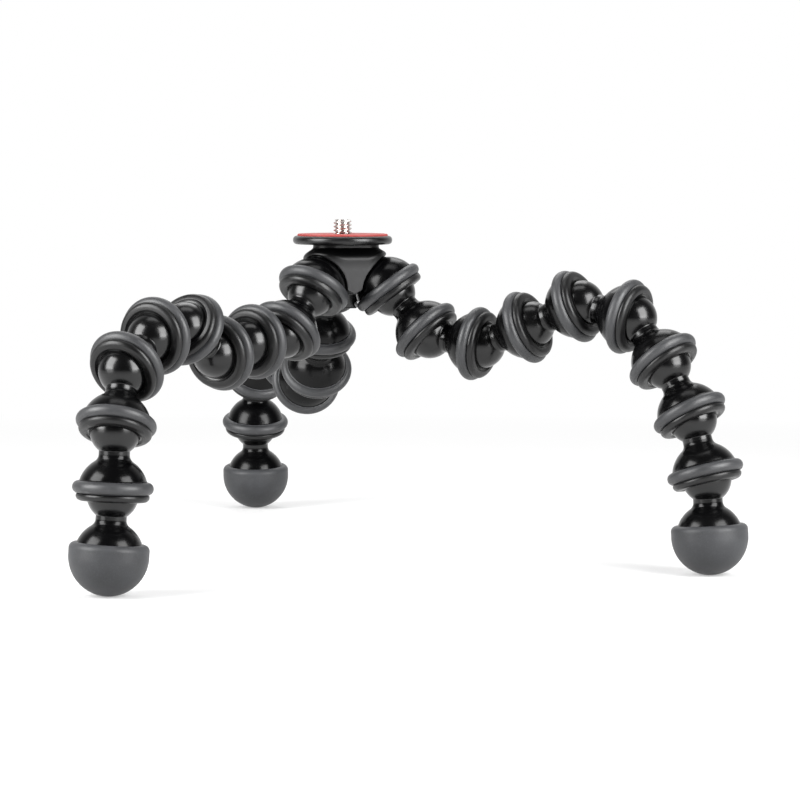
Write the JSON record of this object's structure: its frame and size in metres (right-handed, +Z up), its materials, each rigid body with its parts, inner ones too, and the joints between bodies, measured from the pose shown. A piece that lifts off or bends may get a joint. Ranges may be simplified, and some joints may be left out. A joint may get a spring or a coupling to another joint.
{
  "type": "flexible leg tripod",
  "caption": "Camera tripod with three flexible legs of snap-together ball links with rubber grip rings and round rubber feet, under a padded disc with a camera screw.",
  "frame": {"origin": "centre of the camera seat, on the axis of the camera screw at the top of the rubber pad", "axes": "+Z up along the camera screw, -Y toward the front facet of the hub, +X to the right seen from the front; the feet stand on a floor at negative Z"},
  "size_m": [0.2213, 0.2682, 0.1138],
  "materials": {
    "gloss_black": "gloss moulded ABS, black",
    "satin_black": "satin moulded plastic, black",
    "grey_rubber": "matte soft rubber, dark grey",
    "red_rubber": "matte rubber, coral red",
    "screw_steel": "bright turned steel"
  },
  "bodies": {
    "hub": {"hub_body": "gloss_black", "platform_disc": "satin_black", "seat_pad": "red_rubber", "camera_screw": "screw_steel", "socket_grip_rings": "grey_rubber"},
    "right_segment_1": {"right_link_1": "gloss_black", "right_grip_ring_1": "grey_rubber"},
    "right_segment_2": {"right_link_2": "gloss_black", "right_grip_ring_2": "grey_rubber"},
    "right_segment_3": {"right_link_3": "gloss_black", "right_grip_ring_3": "grey_rubber"},
    "right_segment_4": {"right_link_4": "gloss_black", "right_grip_ring_4": "grey_rubber"},
    "right_segment_5": {"right_link_5": "gloss_black", "right_grip_ring_5": "grey_rubber"},
    "right_segment_6": {"right_link_6": "gloss_black", "right_grip_ring_6": "grey_rubber"},
    "right_segment_7": {"right_link_7": "gloss_black", "right_grip_ring_7": "grey_rubber"},
    "right_segment_8": {"right_link_8": "gloss_black", "right_grip_ring_8": "grey_rubber"},
    "right_foot": {"right_foot_link": "gloss_black", "right_foot_cap": "grey_rubber"},
    "left_segment_1": {"left_link_1": "gloss_black", "left_grip_ring_1": "grey_rubber"},
    "left_segment_2": {"left_link_2": "gloss_black", "left_grip_ring_2": "grey_rubber"},
    "left_segment_3": {"left_link_3": "gloss_black", "left_grip_ring_3": "grey_rubber"},
    "left_segment_4": {"left_link_4": "gloss_black", "left_grip_ring_4": "grey_rubber"},
    "left_segment_5": {"left_link_5": "gloss_black", "left_grip_ring_5": "grey_rubber"},
    "left_segment_6": {"left_link_6": "gloss_black", "left_grip_ring_6": "grey_rubber"},
    "left_segment_7": {"left_link_7": "gloss_black", "left_grip_ring_7": "grey_rubber"},
    "left_segment_8": {"left_link_8": "gloss_black", "left_grip_ring_8": "grey_rubber"},
    "left_foot": {"left_foot_link": "gloss_black", "left_foot_cap": "grey_rubber"},
    "back_segment_1": {"back_link_1": "gloss_black", "back_grip_ring_1": "grey_rubber"},
    "back_segment_2": {"back_link_2": "gloss_black", "back_grip_ring_2": "grey_rubber"},
    "back_segment_3": {"back_link_3": "gloss_black", "back_grip_ring_3": "grey_rubber"},
    "back_segment_4": {"back_link_4": "gloss_black", "back_grip_ring_4": "grey_rubber"},
    "back_segment_5": {"back_link_5": "gloss_black", "back_grip_ring_5": "grey_rubber"},
    "back_segment_6": {"back_link_6": "gloss_black", "back_grip_ring_6": "grey_rubber"},
    "back_segment_7": {"back_link_7": "gloss_black", "back_grip_ring_7": "grey_rubber"},
    "back_segment_8": {"back_link_8": "gloss_black", "back_grip_ring_8": "grey_rubber"},
    "back_foot": {"back_foot_link": "gloss_black", "back_foot_cap": "grey_rubber"}
  },
  "joints": [
    {"name": "right_ball_joint_1", "type": "hinge", "parent": "hub", "child": "right_segment_1", "pos_m": [0.01481, -0.00855, -0.0201], "axis": [-0.8539, -0.0973, -0.5112], "range_deg": [-51.5, 24]},
    {"name": "right_ball_joint_2", "type": "hinge", "parent": "right_segment_1", "child": "right_segment_2", "pos_m": [0.02445, -0.01889, -0.03424], "axis": [-0.7701, -0.635, -0.0608], "range_deg": [-75, 0.5]},
    {"name": "right_ball_joint_3", "type": "hinge", "parent": "right_segment_2", "child": "right_segment_3", "pos_m": [0.03718, -0.03406, -0.03703], "axis": [-0.7703, -0.6342, -0.0664], "range_deg": [-67, 8.5]},
    {"name": "right_ball_joint_4", "type": "hinge", "parent": "right_segment_3", "child": "right_segment_4", "pos_m": [0.04868, -0.04878, -0.02986], "axis": [0.7986, 0.6018, 0], "range_deg": [-36.5, 38.5]},
    {"name": "right_ball_joint_5", "type": "hinge", "parent": "right_segment_4", "child": "right_segment_5", "pos_m": [0.05984, -0.06359, -0.02237], "axis": [0.8051, 0.5924, -0.0283], "range_deg": [-72, 3.5]},
    {"name": "right_ball_joint_6", "type": "hinge", "parent": "right_segment_5", "child": "right_segment_6", "pos_m": [0.07134, -0.07941, -0.02652], "axis": [0.7846, 0.6053, -0.1342], "range_deg": [-74, 1.5]},
    {"name": "right_ball_joint_7", "type": "hinge", "parent": "right_segment_6", "child": "right_segment_7", "pos_m": [0.07783, -0.09112, -0.04139], "axis": [0.8746, 0.4848, 0], "range_deg": [-49, 26.5]},
    {"name": "right_ball_joint_8", "type": "hinge", "parent": "right_segment_7", "child": "right_segment_8", "pos_m": [0.08278, -0.10006, -0.05857], "axis": [0.8655, 0.5008, -0.011], "range_deg": [-51.5, 24]},
    {"name": "right_ball_joint_9", "type": "hinge", "parent": "right_segment_8", "child": "right_foot", "pos_m": [0.08553, -0.10523, -0.0777], "axis": [0.8653, 0.501, -0.011], "range_deg": [-50.5, 25]},
    {"name": "left_ball_joint_1", "type": "hinge", "parent": "hub", "child": "left_segment_1", "pos_m": [-0.01481, -0.00855, -0.0201], "axis": [-0.5414, 0.84, 0.0361], "range_deg": [-50.5, 25]},
    {"name": "left_ball_joint_2", "type": "hinge", "parent": "left_segment_1", "child": "left_segment_2", "pos_m": [-0.02775, -0.01632, -0.03322], "axis": [0.592, -0.7983, -0.1107], "range_deg": [-1.5, 74]},
    {"name": "left_ball_joint_3", "type": "hinge", "parent": "left_segment_2", "child": "left_segment_3", "pos_m": [-0.04387, -0.02804, -0.03496], "axis": [0.6018, -0.7986, 0], "range_deg": [-40.5, 34.5]},
    {"name": "left_ball_joint_4", "type": "hinge", "parent": "left_segment_3", "child": "left_segment_4", "pos_m": [-0.05968, -0.03995, -0.03775], "axis": [-0.5988, 0.8005, -0.0251], "range_deg": [-75, 0.5]},
    {"name": "left_ball_joint_5", "type": "hinge", "parent": "left_segment_4", "child": "left_segment_5", "pos_m": [-0.07383, -0.05024, -0.02805], "axis": [0.6201, -0.7808, 0.0771], "range_deg": [-74, 1.5]},
    {"name": "left_ball_joint_6", "type": "hinge", "parent": "left_segment_5", "child": "left_segment_6", "pos_m": [-0.08926, -0.06273, -0.03049], "axis": [0.612, -0.7806, 0.1269], "range_deg": [-59, 16.5]},
    {"name": "left_ball_joint_7", "type": "hinge", "parent": "left_segment_6", "child": "left_segment_7", "pos_m": [-0.10238, -0.07454, -0.03988], "axis": [0.5998, -0.7858, 0.1506], "range_deg": [-74, 1.5]},
    {"name": "left_ball_joint_8", "type": "hinge", "parent": "left_segment_7", "child": "left_segment_8", "pos_m": [-0.10753, -0.0819, -0.05775], "axis": [0.8528, -0.5212, -0.0313], "range_deg": [-61, 14.5]},
    {"name": "left_ball_joint_9", "type": "hinge", "parent": "left_segment_8", "child": "left_foot", "pos_m": [-0.10872, -0.08264, -0.0777], "axis": [0.2079, -0.9781, 0], "range_deg": [-37, 38.5]},
    {"name": "back_ball_joint_1", "type": "hinge", "parent": "hub", "child": "back_segment_1", "pos_m": [0, 0.0171, -0.0201], "axis": [-0.7611, -0.5214, -0.3858], "range_deg": [-47, 28.5]},
    {"name": "back_ball_joint_2", "type": "hinge", "parent": "back_segment_1", "child": "back_segment_2", "pos_m": [0.00208, 0.02688, -0.03742], "axis": [0.94, -0.3328, -0.0751], "range_deg": [-59, 16.5]},
    {"name": "back_ball_joint_3", "type": "hinge", "parent": "back_segment_2", "child": "back_segment_3", "pos_m": [0.00636, 0.04182, -0.05001], "axis": [0.9722, -0.1006, 0.2115], "range_deg": [-63.5, 12]},
    {"name": "back_ball_joint_4", "type": "hinge", "parent": "back_segment_3", "child": "back_segment_4", "pos_m": [0.0094, 0.06099, -0.05484], "axis": [0.9884, -0.1498, 0.0267], "range_deg": [-74, 1.5]},
    {"name": "back_ball_joint_5", "type": "hinge", "parent": "back_segment_4", "child": "back_segment_5", "pos_m": [0.01198, 0.07935, -0.04735], "axis": [-0.9962, 0.0872, 0], "range_deg": [-35.5, 39.5]},
    {"name": "back_ball_joint_6", "type": "hinge", "parent": "back_segment_5", "child": "back_segment_6", "pos_m": [0.01357, 0.09755, -0.03922], "axis": [-0.9968, 0.0757, 0.0258], "range_deg": [-75, 0.5]},
    {"name": "back_ball_joint_7", "type": "hinge", "parent": "back_segment_6", "child": "back_segment_7", "pos_m": [0.01493, 0.11699, -0.04372], "axis": [-0.9976, 0.0698, 0], "range_deg": [-71.5, 4]},
    {"name": "back_ball_joint_8", "type": "hinge", "parent": "back_segment_7", "child": "back_segment_8", "pos_m": [0.01589, 0.13065, -0.05829], "axis": [-0.9971, -0.0105, -0.0752], "range_deg": [-67.5, 8]},
    {"name": "back_ball_joint_9", "type": "hinge", "parent": "back_segment_8", "child": "back_foot", "pos_m": [0.0173, 0.13528, -0.0777], "axis": [-0.9763, 0.2156, -0.0198], "range_deg": [-47.5, 28]}
  ]
}
